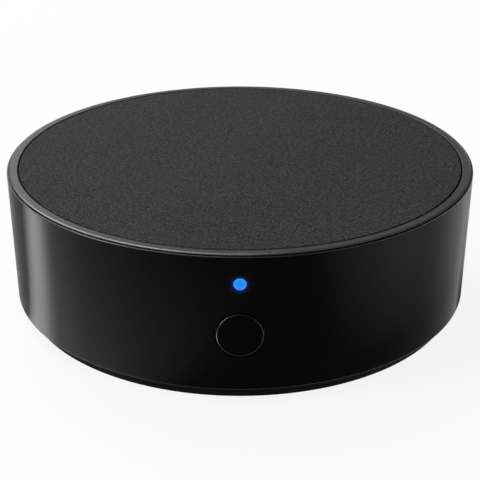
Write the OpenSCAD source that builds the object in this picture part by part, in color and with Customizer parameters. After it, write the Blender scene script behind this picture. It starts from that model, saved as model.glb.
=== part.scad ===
// Smart infrared blaster: a low round puck that repeats remote control codes
// through its dark wall. The origin is the centre of the underside. The front,
// with the button and the status light, looks along -Y, and the power socket
// is at the back.

/* [Body] */
// Diameter over the top of the wall
body_d = 100; // [94:1:130]
// Height from the table to the top
body_h = 31.6; // [30:0.2:42]
// How much smaller the wall's radius is at its bottom edge than at its top
wall_draft = 0.45; // [0:0.05:1]
// Thickness of the wall
wall_t = 1.8; // [1.5:0.1:2.2]
// Thickness of the wall's top lip, beside the rebate for the top cover
wall_lip_t = 1.1; // [0.9:0.1:1.3]
// Rounding of the wall's bottom edge
wall_foot_edge = 0.4; // [0.2:0.1:0.6]
// Rounding of the wall's top edge
wall_top_edge = 0.15; // [0.1:0.05:0.3]
// Height of the wall's bottom edge above the table
skirt_h = 2.9; // [2.6:0.1:4]

/* [Top cover] */
// From the wall's outer edge to the pocket of the textured disc
rim_w = 2.25; // [2:0.05:4]
// How far the rim's outer edge stands back from the wall's
rim_back = 0.3; // [0.2:0.05:0.4]
// Width of the slope along the rim's outer edge
rim_slope_w = 0.45; // [0.3:0.05:0.6]
// Height of that slope
rim_slope_h = 0.15; // [0.1:0.05:0.3]
// Straight edge under the slope
rim_land = 0.05; // [0.05:0.05:0.2]
// Height of the shadow gap between the rim and the wall
seam_h = 0.15; // [0.1:0.05:0.4]
// How far in from the wall's outer edge the shadow gap reaches
seam_depth = 0.6; // [0.5:0.1:0.8]
// Thickness of the plate under the textured disc
plate_t = 1.8; // [1.5:0.1:2.5]
// Depth of the ring that centres the cover inside the wall
guide_h = 2.4; // [1.5:0.1:4]
// Thickness of that ring
guide_t = 1.5; // [1:0.1:2]
// Chamfer of the pocket that holds the disc
pocket_edge = 0.15; // [0.1:0.05:0.3]

/* [Textured disc] */
// Gap round the disc
inset_gap = 0.3; // [0.2:0.05:0.6]
// Thickness of the disc
inset_t = 1.2; // [0.8:0.1:2]
// Rounding of the disc's edge
inset_edge = 0.2; // [0.1:0.05:0.4]
// Thickness of the adhesive sheet under the disc
adhesive_t = 0.2; // [0.1:0.05:0.4]
// How far the adhesive stands back from the disc's edge
adhesive_back = 1.5; // [0.5:0.1:4]

/* [Base] */
// Thickness of the base's floor
floor_t = 2.4; // [2:0.1:3]
// How far the wall's ledge sits above the wall's bottom edge
upstand_rise = 1.2; // [1:0.1:1.6]
// Thickness of the base's upstanding edge
upstand_t = 1.9; // [1.5:0.1:2.5]
// Width of the wall's inner ledge over the base's edge
ledge_w = 1.5; // [1:0.1:1.8]
// Thickness of that ledge
ledge_t = 1; // [0.8:0.1:1.4]
// Rounding of the base's bottom edge
plinth_edge = 0.3; // [0.2:0.1:0.8]
// Thickness of the anti-slip pad
pad_t = 1.2; // [0.8:0.1:1.6]
// How far the pad stands below the base
pad_stand = 0.2; // [0.1:0.1:0.6]
// How far the pad stands back from the base's edge
pad_margin = 3.5; // [3:0.1:4]
// Number of grip grooves under the pad
groove_count = 3; // [1:1:5]
// Distance between the grip grooves
groove_pitch = 4; // [2:0.5:6]
// Width of a grip groove
groove_w = 0.8; // [0.4:0.1:1.2]
// Depth of a grip groove
groove_depth = 0.3; // [0.2:0.1:0.4]
// Chamfer of the pad's bottom edge
pad_edge = 0.2; // [0.1:0.05:0.3]

/* [Case screws] */
// From the wall's outer edge to the case screws' axes
case_screw_inset = 10; // [9.5:0.1:11]
// Diameter of a case screw's shank
case_shank_d = 2.5; // [2:0.1:2.8]
// Length of a case screw's shank
case_shank_l = 12; // [10:0.5:14]
// Diameter of a case screw's head
case_head_d = 4.6; // [4:0.1:4.8]
// Thickness of a case screw's head
case_head_h = 1.8; // [1.2:0.1:2.2]
// Wall round a case screw, in its post and boss
case_boss_t = 1.1; // [0.9:0.1:1.4]
// Plastic between a screw's head and the top of its post
post_web = 3.8; // [3:0.1:4.5]
// Depth of the counterbore over the pad, up to the head's seat
post_recess = 4; // [3:0.1:4.5]

/* [Button] */
// Diameter of the button's cap
button_d = 9; // [7:0.1:11]
// Gap round the cap
button_gap = 0.2; // [0.15:0.05:0.3]
// Where the button's centre sits, as a share of the way up from the main board to the light's sleeve
button_place_share = 0.39; // [0.36:0.01:0.44]
// How far the cap stands out of the wall
button_proud = 0.2; // [0:0.05:0.22]
// Rounding of the cap's front edge
button_edge = 0.35; // [0.2:0.05:0.5]
// Width of the flange that keeps the cap behind the wall
button_flange_w = 1.1; // [0.8:0.1:1.5]
// Thickness of that flange
button_flange_t = 1; // [0.8:0.1:1.5]
// Diameter of the cap's stem
button_stem_d = 3.4; // [2.5:0.1:4]
// Length of the stem behind the flange
button_stem_l = 1.6; // [1:0.1:3]
// Gap between the flange and the wall at rest
button_play = 0.1; // [0.05:0.01:0.2]
// Travel of the button
button_travel = 0.35; // [0.2:0.05:0.4]

/* [Switch] */
// Diameter of the plunger's stem
plunger_d = 3.4; // [2.5:0.1:4]
// Width of the plunger's inner flange round its stem
plunger_flange_w = 0.5; // [0.3:0.1:0.8]
// Thickness of that flange
plunger_flange_t = 0.8; // [0.6:0.1:0.9]
// How far the plunger stands out of the switch
plunger_out = 1.6; // [1:0.1:3]
// Diameter of the nub that presses the dome
nub_d = 1.8; // [1.2:0.1:2.4]
// Gap that is left between the nub and the dome when the button is pressed in
nub_play = 0.1; // [0.05:0.01:0.15]
// Gap round the plunger's flange in its well
well_gap = 0.2; // [0.1:0.05:0.4]
// Wall of the switch's housing round its well
switch_wall = 0.6; // [0.4:0.1:0.9]
// Depth of the switch's housing
switch_t = 3.1; // [2.8:0.1:4]
// Floor of the housing under the spring dome
switch_floor_t = 0.8; // [0.6:0.1:1]
// Thickness of the switch's front plate
switch_plate_t = 0.3; // [0.2:0.05:0.5]
// Gap round the spring dome in the well
dome_gap = 0.1; // [0.05:0.05:0.3]
// Rise of the spring dome
dome_h = 0.4; // [0.3:0.05:0.45]
// Thickness of the dome's sheet
dome_t = 0.12; // [0.1:0.01:0.2]

/* [Status light] */
// Diameter of the light pipe
light_d = 2.4; // [1.8:0.1:3]
// Gap between the light's sleeve and the plate over it
light_roof_gap = 0.45; // [0.3:0.05:1]
// Width of the light pipe's collar
light_collar_w = 0.7; // [0.5:0.1:0.8]
// Thickness of the collar
light_collar_t = 0.8; // [0.6:0.1:1.2]
// Wall of the sleeve that keeps the light in
shield_t = 1; // [0.8:0.1:1.1]
// Chamfer of the light pipe's front edge
light_edge = 0.2; // [0.1:0.05:0.4]
// Size of the status light's chip: width, height, thickness
status_size = [1.6, 0.8, 0.6];

/* [Power socket] */
// Width of the socket's shell
usb_w = 8.94; // [8.8:0.02:9]
// Height of the socket's shell
usb_h = 3.26; // [3.1:0.02:3.3]
// Length of the socket's shell
usb_l = 7.35; // [6.5:0.05:9]
// Sheet thickness of the shell
usb_sheet = 0.3; // [0.2:0.05:0.35]
// Width of the socket's tongue
tongue_w = 6.69; // [6.5:0.01:6.8]
// Thickness of the tongue
tongue_t = 0.7; // [0.6:0.05:0.8]
// How far the tongue stays behind the socket's mouth
tongue_back = 0.9; // [0.5:0.1:1.5]
// Length of the block that holds the tongue
usb_block_l = 2; // [1.5:0.1:2.5]
// Width of the recess that takes the plug
port_w = 12.6; // [11.5:0.1:13.5]
// Height of the recess
port_h = 6.8; // [6.2:0.1:7.2]
// Corner radius of the recess
port_corner = 1.2; // [0.8:0.1:2]
// Depth from the frame's front to the socket's mouth
port_depth = 4.6; // [4.4:0.1:5]
// Wall of the frame that lines the recess
frame_t = 0.8; // [0.6:0.1:0.9]
// Width of the frame's flange behind the wall
frame_flange_w = 0.7; // [0.5:0.1:0.8]
// Gap between the frame's flange and the wall
frame_play = 0.15; // [0.1:0.05:0.3]
// How far the frame's front stays behind the wall's surface
frame_recess = 0.15; // [0.1:0.05:0.4]

/* [Main board] */
// Thickness of the main board
board_t = 1.6; // [1.2:0.1:2]
// Gap between the main board's edge and the wall
board_clear = 4.3; // [4:0.1:5]
// Height of the posts under the main board
standoff_h = 5.4; // [5:0.1:5.8]
// Diameter of those posts
standoff_d = 5.6; // [4.6:0.1:6]
// Diameter of a board screw's shank
board_shank_d = 2; // [1.6:0.1:2.4]
// Length of a board screw's shank
board_shank_l = 6; // [5:0.1:6.4]
// Diameter of a board screw's head
board_head_d = 3.8; // [3.2:0.1:4.2]
// Thickness of a board screw's head
board_head_h = 1.4; // [1:0.1:1.8]
// Thickness of the radio module's board
radio_board_t = 0.8; // [0.6:0.1:1.2]
// Length and width of the radio module's board
radio_size = [20, 18];
// Length, width and height of the radio module's metal can
can_size = [15, 16, 2.3];
// Corner radius of the metal can
can_corner = 0.8; // [0.4:0.1:1.5]

/* [Front board] */
// Thickness of the front board
ui_t = 1.2; // [1:0.1:1.6]
// Width of the front board
ui_w = 18; // [17:0.5:20]
// Depth of the rails that hold the front board
rail_h = 8; // [5:0.5:10]
// Wall of a rail
rail_t = 1.2; // [0.8:0.1:1.6]
// How far a rail grips over the board's edge
rail_grip = 1; // [0.6:0.1:1.5]
// Number of pins between the two boards
pin_count = 6; // [3:1:6]
// Distance between the pins
pin_pitch = 2.54; // [2:0.01:2.54]
// Width of a square pin
pin_w = 0.6; // [0.5:0.05:0.64]
// Height and depth of the pins' holder
pin_block = 2.5; // [2:0.1:2.6]
// Size of the infrared receiver: width, height, depth
receiver_size = [3.8, 3.4, 2.2];
// Radius of the receiver's lens
receiver_lens_r = 1.3; // [1:0.1:1.5]

/* [Infrared lights] */
// Diameter of an infrared light's body
ir_d = 5; // [4:0.1:5.2]
// Length of the body up to the start of its dome
ir_l = 6.2; // [5:0.1:6.5]
// Width of the flange round the body
ir_flange_w = 0.4; // [0.3:0.05:0.5]
// Thickness of the flange
ir_flange_t = 1; // [0.8:0.1:1.5]
// How far an infrared light's back stands in from the board's edge
ir_back = 5.7; // [5.5:0.1:6.5]
// Width of a square lead
lead_w = 0.5; // [0.4:0.05:0.6]
// Distance between the two leads of a light
lead_pitch = 2.54; // [2:0.01:2.54]
// Length of a lead before it bends down
lead_run = 1.8; // [1.2:0.1:2.4]
// Size of the resistor beside each light: length, width, height
resistor_size = [2, 1.25, 0.55];

/* [Power parts] */
// Diameter of a storage capacitor
capacitor_d = 6.3; // [5:0.1:6.4]
// Height of a storage capacitor
capacitor_h = 5.4; // [4:0.1:8]
// Thickness of a capacitor's foot
capacitor_foot_t = 0.9; // [0.6:0.1:1.2]
// Size of the coil's block: length, width, height
coil_size = [6.5, 6.5, 3];
// Corner radius of the coil's block
coil_corner = 1; // [0.5:0.1:1.5]
// Size of the regulator chip: length, width, height
regulator_size = [4, 3, 1];
// Size of a driver chip's body: length, width, height
driver_size = [4.9, 3.9, 1.5];
// Number of leads on each side of a chip
chip_leads = 4; // [2:1:4]
// Size of a chip's lead: reach, width, thickness
chip_lead_size = [1, 0.4, 0.2];

/* [Clearances] */
// Gap between parts that drop into each other
fit_gap = 0.25; // [0.2:0.01:0.3]
// Gap round a shank in its bore
bore_gap = 0.05; // [0.03:0.01:0.08]
// Gap round a shank in its clearance hole
hole_gap = 0.2; // [0.1:0.05:0.25]
// How far pins and leads stand out under the board
lead_tail = 1.2; // [0.8:0.1:1.6]

/* [Hidden] */

// Sides of a large and of a small circle, and steps of a drawn arc
large_fn = 180;
small_fn = 48;
arc_steps = 4;
// How far a cut runs past the face that it opens
overrun = 0.5;
// Angles of the infrared lights, of the case screws, and of the posts under the main board
ir_angles = [for (i = [0 : 7]) 22.5 + 45 * i];
case_angles = [45, 135, 225, 315];
board_angles = [30, 150, 270];
// Places on the main board, as shares of its radius
board_screw_share = 0.69;
resistor_place_share = 0.755;
radio_place_share = [-0.44, 0];
capacitor_places_share = [[-0.3, 0.55], [0.3, 0.55]];
coil_place_share = [0, 0.62];
regulator_place_share = [0, 0.42];
driver_places_share = [[0.45, 0.12], [0.45, -0.2]];
// Share of the radio board's length by which its can stands off centre
can_shift_share = 0.1;
// Share of a screw head's diameter and thickness taken by its cross recess
drive_reach_share = 0.6;
drive_width_share = 0.16;
drive_depth_share = 0.55;
// Share of a chip's side over which its leads are spread
chip_spread_share = 0.76;

body_r = body_d / 2;
// The wall and the rim, from the top down
rim_low = body_h - rim_slope_h - rim_land;
wall_top = rim_low - seam_h;
seam_r = body_r - seam_depth;
rim_r = body_r - rim_back;
wall_foot_r = body_r - wall_draft;
rebate_r = body_r - wall_lip_t;
pocket_r = body_r - rim_w;
inset_r = pocket_r - inset_gap;
pocket_z = body_h - inset_t - adhesive_t;
plate_low = pocket_z - plate_t;
plate_r = rebate_r - fit_gap;
guide_low = plate_low - guide_h;
guide_r = inner_r(guide_low) - fit_gap;
rebate_z = plate_low - fit_gap;
// The base, from the table up
plinth_r = wall_foot_r - wall_t - fit_gap;
pad_r = plinth_r - pad_margin;
floor_z = pad_stand + floor_t;
ledge_z = skirt_h + upstand_rise;
ledge_top = ledge_z + ledge_t;
board_z = floor_z + standoff_h;
board_top = board_z + board_t;
board_r = inner_r(board_z) - board_clear;
// The case screws
case_screw_r = body_r - case_screw_inset;
counterbore_r = case_head_d / 2 + 2 * hole_gap;
post_r = counterbore_r + case_boss_t;
head_seat = pad_t + post_recess;
post_top = head_seat + post_web;
// Heights and widths of the status light and its sleeve
light_collar_r = light_d / 2 + light_collar_w;
shield_bore_r = light_d / 2 + 2 * bore_gap;
shield_r = shield_bore_r + shield_t;
light_z = plate_low - light_roof_gap - shield_r;
// The button and its switch, as distances out from the body's axis
button_z = board_top + (light_z - shield_r - board_top) * button_place_share;
button_flange_r = button_d / 2 + button_flange_w;
button_face = wall_r(button_z) + button_proud;
flange_front = chord_depth(inner_r(button_z - button_flange_r), button_flange_r) - button_play;
flange_back = flange_front - button_flange_t;
stem_back = flange_back - button_stem_l;
switch_face = stem_back - plunger_out;
switch_rim = switch_face - switch_plate_t;
ui_front = switch_rim - switch_t;
ui_back = ui_front - ui_t;
ui_top = plate_low - fit_gap;
well_floor = ui_front + switch_floor_t;
plunger_flange_r = plunger_d / 2 + plunger_flange_w;
well_r = plunger_flange_r + well_gap;
switch_w = 2 * (well_r + switch_wall);
nub_back = well_floor + dome_h + button_travel + nub_play;
plunger_flange_front = switch_rim - bore_gap;
plunger_flange_back = plunger_flange_front - plunger_flange_t;
// Distances of the status light's parts out from the body's axis
light_face = chord_depth(wall_r(light_z), light_d / 2);
collar_front = chord_depth(inner_r(light_z - light_collar_r), light_collar_r) - button_play;
collar_back = collar_front - light_collar_t;
light_back = ui_front + status_size.z + fit_gap;
// The infrared receiver stands beside the light's sleeve
receiver_x = shield_r + fit_gap + receiver_size.x / 2;
// The power socket
port_z = board_top + usb_h / 2;
frame_w = port_w + 2 * frame_t;
frame_h = port_h + 2 * frame_t;
frame_corner = port_corner + frame_t;
frame_front = chord_depth(wall_r(port_z), frame_w / 2) - frame_recess;
socket_mouth = frame_front - port_depth;
frame_back = socket_mouth - frame_t;
board_flat = frame_back - fit_gap;
frame_flange_half = frame_w / 2 + frame_flange_w;
frame_flange_low = port_z - frame_h / 2 - frame_flange_w;
frame_flange_front = chord_depth(inner_r(frame_flange_low), frame_flange_half) - frame_play;
// The infrared lights
ir_flange_r = ir_d / 2 + ir_flange_w;
ir_z = board_top + ir_flange_r + bore_gap;
ir_start = board_r - ir_back;

// Outer and inner radius of the wall at height z
function wall_r(z) = wall_foot_r + wall_draft * (z - skirt_h) / (wall_top - skirt_h);
function inner_r(z) = wall_r(z) - wall_t;
// Depth at which a circle of radius r is twice half wide
function chord_depth(r, half) = sqrt(r * r - half * half);
// Points of an arc about [x, y], from angle a to angle b
function arc(x, y, r, a, b) = [
    for (i = [0 : arc_steps])
        let (t = a + (b - a) * i / arc_steps)
            [x + r * cos(t), y + r * sin(t)]
];

// Turns a shape that grows along +Z so that it grows out of the front or the back
module facing_front(z) {
    translate([0, 0, z]) rotate([90, 0, 0]) children();
}

module facing_back(z) {
    translate([0, 0, z]) rotate([-90, 0, 0]) children();
}

// Box between two widths, two distances out to the front, and two heights
module front_box(half, reach, z) {
    translate([-half, -reach[1], z[0]])
        cube([2 * half, reach[1] - reach[0], z[1] - z[0]]);
}

// Disc or ring between two heights
module tube(outer_r, bore_r, z) {
    difference() {
        translate([0, 0, z[0]])
            cylinder(r = outer_r, h = z[1] - z[0], $fn = small_fn);
        translate([0, 0, z[0] - overrun])
            cylinder(r = bore_r, h = z[1] - z[0] + 2 * overrun, $fn = small_fn);
    }
}

// Bar with a rounded rectangular section, centred on the Z axis
module rounded_bar(w, h, corner, length) {
    linear_extrude(length) {
        square([w - 2 * corner, h], center = true);
        square([w, h - 2 * corner], center = true);
        for (x = [-1, 1], y = [-1, 1])
            translate([x * (w / 2 - corner), y * (h / 2 - corner)])
                circle(r = corner, $fn = small_fn);
    }
}

// Bar with fully round ends, centred on the Z axis
module slot_bar(w, h, length) {
    linear_extrude(length) {
        square([w - h, h], center = true);
        for (x = [-1, 1])
            translate([x * (w - h) / 2, 0]) circle(d = h, $fn = small_fn);
    }
}

module at_case_screws() {
    for (a = case_angles)
        rotate([0, 0, a]) translate([case_screw_r, 0, 0]) children();
}

module at_board_screws() {
    for (a = board_angles)
        rotate([0, 0, a]) translate([board_r * board_screw_share, 0, 0]) children();
}

// Each infrared light's own frame, with +X pointing out through the wall
module at_ir_lights() {
    for (a = ir_angles)
        rotate([0, 0, a]) children();
}

// Screw with its head below z = 0 and its shank above, and a cross recess
module screw(head_d, head_h, shank_d, shank_l) {
    drive_l = head_d * drive_reach_share;
    drive_w = head_d * drive_width_share;
    drive_h = head_h * drive_depth_share;
    difference() {
        rotate_extrude($fn = small_fn)
            polygon(concat(
                [[0, -head_h], [head_d / 2 - head_h / 2, -head_h]],
                arc(head_d / 2 - head_h / 2, -head_h / 2, head_h / 2, -90, 0),
                [[head_d / 2, 0], [shank_d / 2, 0], [shank_d / 2, shank_l - shank_d / 2],
                 [shank_d / 4, shank_l], [0, shank_l]]));
        for (a = [0, 90])
            rotate([0, 0, a]) translate([-drive_l / 2, -drive_w / 2, -head_h - overrun])
                cube([drive_l, drive_w, drive_h + overrun]);
    }
}

module top_cover() {
    light_notch = shield_r + fit_gap;
    color("#2b2c2e") difference() {
        union() {
            rotate_extrude($fn = large_fn)
                polygon([
                    [0, plate_low], [guide_r - guide_t, plate_low], [guide_r - guide_t, guide_low],
                    [guide_r, guide_low], [guide_r, plate_low], [plate_r, plate_low],
                    [plate_r, wall_top], [seam_r, wall_top], [seam_r, rim_low], [rim_r, rim_low],
                    [rim_r, body_h - rim_slope_h], [rim_r - rim_slope_w, body_h],
                    [pocket_r + pocket_edge, body_h], [pocket_r, body_h - pocket_edge],
                    [pocket_r, pocket_z], [0, pocket_z]
                ]);
            at_case_screws()
                translate([0, 0, post_top])
                    cylinder(r = post_r, h = plate_low - post_top + overrun, $fn = small_fn);
            board_rails();
        }
        at_case_screws()
            translate([0, 0, post_top - overrun])
                cylinder(r = case_shank_d / 2 + bore_gap, $fn = small_fn,
                         h = head_seat + case_shank_l - post_top + 2 * overrun);
        front_box(light_notch, [guide_r - guide_t - overrun, guide_r + overrun],
                  [guide_low - overrun, plate_low]);
    }
}

// Two rails under the top cover that hold the front board by its edges
module board_rails() {
    outer = ui_w / 2 + fit_gap + rail_t;
    inner = ui_w / 2 - rail_grip;
    difference() {
        front_box(outer, [ui_back - fit_gap - rail_t, ui_front + fit_gap + rail_t],
                  [plate_low - rail_h, plate_low + overrun]);
        front_box(inner, [ui_back - rail_t - overrun, ui_front + rail_t + overrun],
                  [plate_low - rail_h - overrun, plate_low]);
        front_box(ui_w / 2 + fit_gap, [ui_back - fit_gap, ui_front + fit_gap],
                  [plate_low - rail_h - overrun, plate_low]);
    }
}

module top_inset() {
    color("#3b3b3d") rotate_extrude($fn = large_fn)
        polygon(concat(
            [[0, body_h - inset_t], [inset_r, body_h - inset_t]],
            arc(inset_r - inset_edge, body_h - inset_edge, inset_edge, 0, 90),
            [[0, body_h]]));
}

module inset_adhesive() {
    color("#b9b4a6") translate([0, 0, pocket_z])
        cylinder(r = inset_r - adhesive_back, h = adhesive_t, $fn = large_fn);
}

module side_shell() {
    window_w = frame_w + 2 * fit_gap;
    window_h = frame_h + 2 * fit_gap;
    color("#0a0b0d") difference() {
        rotate_extrude($fn = large_fn)
            polygon(concat(
                arc(wall_foot_r - wall_foot_edge, skirt_h + wall_foot_edge, wall_foot_edge, -90, 0),
                arc(body_r - wall_top_edge, wall_top - wall_top_edge, wall_top_edge, 0, 90),
                [
                    [rebate_r, wall_top], [rebate_r, rebate_z], [inner_r(rebate_z), rebate_z],
                    [inner_r(ledge_top), ledge_top], [plinth_r - ledge_w, ledge_top],
                    [plinth_r - ledge_w, ledge_z], [inner_r(ledge_z), ledge_z],
                    [inner_r(skirt_h), skirt_h]
                ]));
        facing_front(button_z)
            cylinder(r = button_d / 2 + button_gap, h = body_r + overrun, $fn = small_fn);
        facing_front(light_z)
            cylinder(r = light_d / 2 + bore_gap, h = body_r + overrun, $fn = small_fn);
        facing_back(port_z)
            rounded_bar(window_w, window_h, frame_corner + fit_gap, body_r + overrun);
    }
}

module base_cover() {
    color("#161719") difference() {
        union() {
            rotate_extrude($fn = large_fn)
                polygon(concat(
                    [[0, pad_t], [pad_r + fit_gap, pad_t], [pad_r + fit_gap, pad_stand]],
                    arc(plinth_r - plinth_edge, pad_stand + plinth_edge, plinth_edge, -90, 0),
                    [
                        [plinth_r, ledge_z], [plinth_r - upstand_t, ledge_z],
                        [plinth_r - upstand_t, floor_z], [0, floor_z]
                    ]));
            at_case_screws()
                translate([0, 0, floor_z - overrun])
                    cylinder(r = post_r, h = post_top - floor_z + overrun, $fn = small_fn);
            at_board_screws()
                translate([0, 0, floor_z - overrun])
                    cylinder(d = standoff_d, h = board_z - floor_z + overrun, $fn = small_fn);
        }
        at_case_screws() {
            translate([0, 0, pad_t - overrun])
                cylinder(r = counterbore_r, h = post_recess + overrun, $fn = small_fn);
            cylinder(r = case_shank_d / 2 + hole_gap, h = post_top + overrun, $fn = small_fn);
        }
        at_board_screws()
            translate([0, 0, board_top - board_shank_l - overrun])
                cylinder(r = board_shank_d / 2 + bore_gap, h = board_shank_l, $fn = small_fn);
    }
}

// The pad lies in the base's pocket and hides the case screws
module base_pad() {
    groove_start = pad_r - groove_pitch;
    color("#232426") difference() {
        rotate_extrude($fn = large_fn)
            polygon([
                [0, 0], [pad_r - pad_edge, 0], [pad_r, pad_edge], [pad_r, pad_t], [0, pad_t]
            ]);
        for (i = [0 : groove_count - 1])
            tube(groove_start - i * groove_pitch, groove_start - i * groove_pitch - groove_w,
                 [-overrun, groove_depth]);
    }
}

module case_screws() {
    color("#9a9da1") at_case_screws()
        translate([0, 0, head_seat])
            screw(case_head_d, case_head_h, case_shank_d, case_shank_l);
}

// The cap goes through the wall, with a flange that stops it behind the wall
module button_cap() {
    color("#050506") facing_front(button_z) rotate_extrude($fn = small_fn)
        polygon(concat(
            [
                [0, stem_back], [button_stem_d / 2, stem_back], [button_stem_d / 2, flange_back],
                [button_flange_r, flange_back], [button_flange_r, flange_front],
                [button_d / 2, flange_front]
            ],
            arc(button_d / 2 - button_edge, button_face - button_edge, button_edge, 0, 90),
            [[0, button_face]]));
}

module light_pipe() {
    color("#0f86fe") facing_front(light_z) rotate_extrude($fn = small_fn)
        polygon([
            [0, light_back], [light_d / 2, light_back], [light_d / 2, collar_back],
            [light_collar_r, collar_back], [light_collar_r, collar_front],
            [light_d / 2, collar_front], [light_d / 2, light_face - light_edge],
            [light_d / 2 - light_edge, light_face], [0, light_face]
        ]);
}

// Soft sleeve between the front board and the light pipe's collar
module light_shield() {
    color("#1a1a1b") facing_front(light_z)
        tube(shield_r, shield_bore_r, [ui_front, collar_back]);
}

// Recess that lines the wall's window and closes round the socket's mouth
module port_frame() {
    color("#101113") facing_back(port_z) difference() {
        union() {
            translate([0, 0, frame_back])
                rounded_bar(frame_w, frame_h, frame_corner, frame_front - frame_back);
            translate([0, 0, frame_flange_front - frame_t])
                rounded_bar(2 * frame_flange_half, frame_h + 2 * frame_flange_w,
                            frame_corner + frame_flange_w, frame_t);
        }
        translate([0, 0, socket_mouth])
            rounded_bar(port_w, port_h, port_corner, port_depth + overrun);
        translate([0, 0, frame_back - overrun])
            slot_bar(usb_w + 2 * bore_gap, usb_h + 2 * bore_gap, frame_t + 2 * overrun);
    }
}

module main_board() {
    scallop_r = post_r + 2 * fit_gap;
    color("#14532d") difference() {
        intersection() {
            translate([0, 0, board_z])
                cylinder(r = board_r, h = board_t, $fn = large_fn);
            translate([-board_r, -board_r, board_z])
                cube([2 * board_r, board_r + board_flat, board_t]);
        }
        at_case_screws() board_hole(scallop_r);
        at_board_screws() board_hole(board_shank_d / 2 + hole_gap);
        at_ir_lights() at_leads() board_hole(lead_w);
        at_pins() translate([0, -pin_drop(), 0]) board_hole(pin_w);
    }
}

// Hole through the main board
module board_hole(r) {
    translate([0, 0, board_z - overrun])
        cylinder(r = r, h = board_t + 2 * overrun, $fn = small_fn);
}

module board_screws() {
    color("#9a9da1") at_board_screws()
        translate([0, 0, board_top]) mirror([0, 0, 1])
            screw(board_head_d, board_head_h, board_shank_d, board_shank_l - overrun);
}

// The front board stands on the main board, between the top cover's rails
module ui_board() {
    color("#14532d") difference() {
        front_box(ui_w / 2, [ui_back, ui_front], [board_top, ui_top]);
        at_pins()
            facing_front(board_top + pin_block / 2)
                translate([0, 0, ui_back - overrun])
                    cylinder(r = pin_w, h = ui_t + 2 * overrun, $fn = small_fn);
    }
}

// Distance out to the middle of the pins' bend, behind their holder
function pin_drop() = ui_back - pin_block - pin_w;

module at_pins() {
    for (i = [0 : pin_count - 1])
        translate([(i - (pin_count - 1) / 2) * pin_pitch, 0, 0]) children();
}

module pin_block() {
    half = pin_count * pin_pitch / 2;
    mid = board_top + pin_block / 2;
    color("#1a1a1b") difference() {
        front_box(half, [ui_back - pin_block, ui_back], [board_top, board_top + pin_block]);
        at_pins()
            front_box(pin_w / 2, [ui_back - pin_block - overrun, ui_back + overrun],
                      [mid - pin_w / 2, mid + pin_w / 2]);
    }
}

// Bent pins, from the front of the front board to under the main board
module link_pins() {
    mid = board_top + pin_block / 2;
    color("#c9a24a") at_pins() {
        front_box(pin_w / 2, [pin_drop() - pin_w / 2, ui_front], [mid - pin_w / 2, mid + pin_w / 2]);
        front_box(pin_w / 2, [pin_drop() - pin_w / 2, pin_drop() + pin_w / 2],
                  [board_z - lead_tail, mid]);
    }
}

module switch_housing() {
    color("#1c1c1e") facing_front(button_z) difference() {
        translate([-switch_w / 2, -switch_w / 2, ui_front])
            cube([switch_w, switch_w, switch_t]);
        translate([0, 0, well_floor])
            cylinder(r = well_r, h = switch_t, $fn = small_fn);
    }
}

module switch_plate() {
    color("#b8bcc0") facing_front(button_z) difference() {
        translate([-switch_w / 2, -switch_w / 2, switch_rim])
            cube([switch_w, switch_w, switch_plate_t]);
        translate([0, 0, switch_rim - overrun])
            cylinder(r = plunger_d / 2 + bore_gap, h = switch_plate_t + 2 * overrun, $fn = small_fn);
    }
}

// Sheet dome at the bottom of the switch's well, which springs the plunger back
module switch_dome() {
    dome_r = well_r - dome_gap;
    ball_r = (dome_r * dome_r + dome_h * dome_h) / (2 * dome_h);
    centre = well_floor + dome_h - ball_r;
    inner_r = ball_r - dome_t;
    color("#cfd2d5") facing_front(button_z) rotate_extrude($fn = small_fn)
        polygon(concat(
            arc(0, centre, ball_r, acos(dome_r / ball_r), 90),
            arc(0, centre, inner_r, 90, asin((ball_r - dome_h) / inner_r))));
}

module switch_plunger() {
    color("#d8d8d8") facing_front(button_z) rotate_extrude($fn = small_fn)
        polygon([
            [0, nub_back], [nub_d / 2, nub_back], [nub_d / 2, plunger_flange_back],
            [plunger_flange_r, plunger_flange_back],
            [plunger_flange_r, plunger_flange_front], [plunger_d / 2, plunger_flange_front],
            [plunger_d / 2, stem_back], [0, stem_back]
        ]);
}

module status_led() {
    color("#e8f1ff") facing_front(light_z)
        translate([-status_size.x / 2, -status_size.y / 2, ui_front]) cube(status_size);
}

module ir_receiver() {
    color("#121214") facing_front(light_z) translate([receiver_x, 0, 0]) {
        translate([-receiver_size.x / 2, -receiver_size.y / 2, ui_front]) cube(receiver_size);
        translate([0, 0, ui_front])
            cylinder(r = receiver_lens_r, h = receiver_size.z + receiver_lens_r, $fn = small_fn);
    }
}

module ir_led_lenses() {
    color("#3d4a63") at_ir_lights()
        translate([ir_start, 0, ir_z]) rotate([0, 90, 0]) rotate_extrude($fn = small_fn)
            polygon(concat(
                [
                    [0, 0], [ir_flange_r, 0], [ir_flange_r, ir_flange_t], [ir_d / 2, ir_flange_t]
                ],
                arc(0, ir_l, ir_d / 2, 0, 90)));
}

// The two leads of one infrared light, at the place where they bend down
module at_leads() {
    for (side = [-1, 1])
        translate([ir_start - lead_run, side * lead_pitch / 2, 0]) children();
}

module ir_led_leads() {
    color("#c4c7cb") at_ir_lights() at_leads() {
        translate([-lead_w / 2, -lead_w / 2, ir_z - lead_w / 2])
            cube([lead_run + lead_w / 2, lead_w, lead_w]);
        translate([-lead_w / 2, -lead_w / 2, board_z - lead_tail])
            cube([lead_w, lead_w, ir_z - board_z + lead_tail]);
    }
}

module led_resistors() {
    color("#26282c") at_ir_lights()
        translate([board_r * resistor_place_share - resistor_size.y / 2, -resistor_size.x / 2, board_top])
            cube([resistor_size.y, resistor_size.x, resistor_size.z]);
}

// Puts a shape on the main board at a place given in shares of the board's radius
module on_board(place_share) {
    translate([board_r * place_share.x, board_r * place_share.y, board_top]) children();
}

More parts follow.
